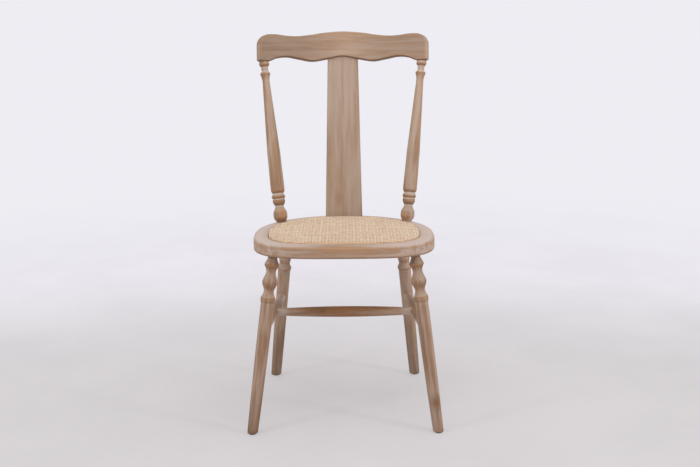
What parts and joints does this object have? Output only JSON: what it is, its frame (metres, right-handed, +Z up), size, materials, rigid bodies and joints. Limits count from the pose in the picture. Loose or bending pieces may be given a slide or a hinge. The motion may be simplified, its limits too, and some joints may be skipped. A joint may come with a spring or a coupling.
{
  "type": "dining side chair",
  "caption": "Turned-leg wooden side chair with a shaped crest rail, a flat splat and a rounded drop-in cane seat.",
  "frame": {"origin": "floor level, at the middle of the chair's footprint rectangle", "axes": "+Z up; the chair faces -Y, so its back is towards +Y; +X is to the right as seen from the front"},
  "size_m": [0.4748, 0.4616, 0.9457],
  "materials": {
    "limed_wood_pale": "white-washed hardwood, matt",
    "limed_wood_warm": "white-washed hardwood, matt",
    "limed_wood_shade": "white-washed hardwood, matt",
    "beech_dowel": "raw",
    "plywood": "raw plywood",
    "woven_cane": "natural woven cane",
    "screw_steel": "zinc plated",
    "glide_nylon": "moulded"
  },
  "bodies": {
    "root": {"seat_front_rail": "limed_wood_warm", "seat_rear_rail": "limed_wood_pale", "seat_side_rail_left": "limed_wood_pale", "seat_side_rail_right": "limed_wood_pale", "rail_dowel_1": "beech_dowel", "rail_dowel_2": "beech_dowel", "rail_dowel_3": "beech_dowel", "rail_dowel_4": "beech_dowel", "rail_dowel_5": "beech_dowel", "rail_dowel_6": "beech_dowel", "rail_dowel_7": "beech_dowel", "rail_dowel_8": "beech_dowel", "seat_panel_board": "plywood", "cane_cover": "woven_cane", "panel_screw_1": "screw_steel", "panel_screw_2": "screw_steel", "panel_screw_3": "screw_steel", "panel_screw_4": "screw_steel", "panel_screw_5": "screw_steel", "panel_screw_6": "screw_steel", "front_leg_left": "limed_wood_warm", "front_leg_right": "limed_wood_warm", "rear_leg_left": "limed_wood_shade", "rear_leg_right": "limed_wood_shade", "glide_front_left": "glide_nylon", "glide_front_right": "glide_nylon", "glide_rear_left": "glide_nylon", "glide_rear_right": "glide_nylon", "side_stretcher_left": "limed_wood_shade", "side_stretcher_right": "limed_wood_shade", "cross_stretcher": "limed_wood_shade", "back_post_left": "limed_wood_warm", "back_post_right": "limed_wood_warm", "back_splat": "limed_wood_pale", "crest_rail": "limed_wood_pale"}
  },
  "joints": []
}
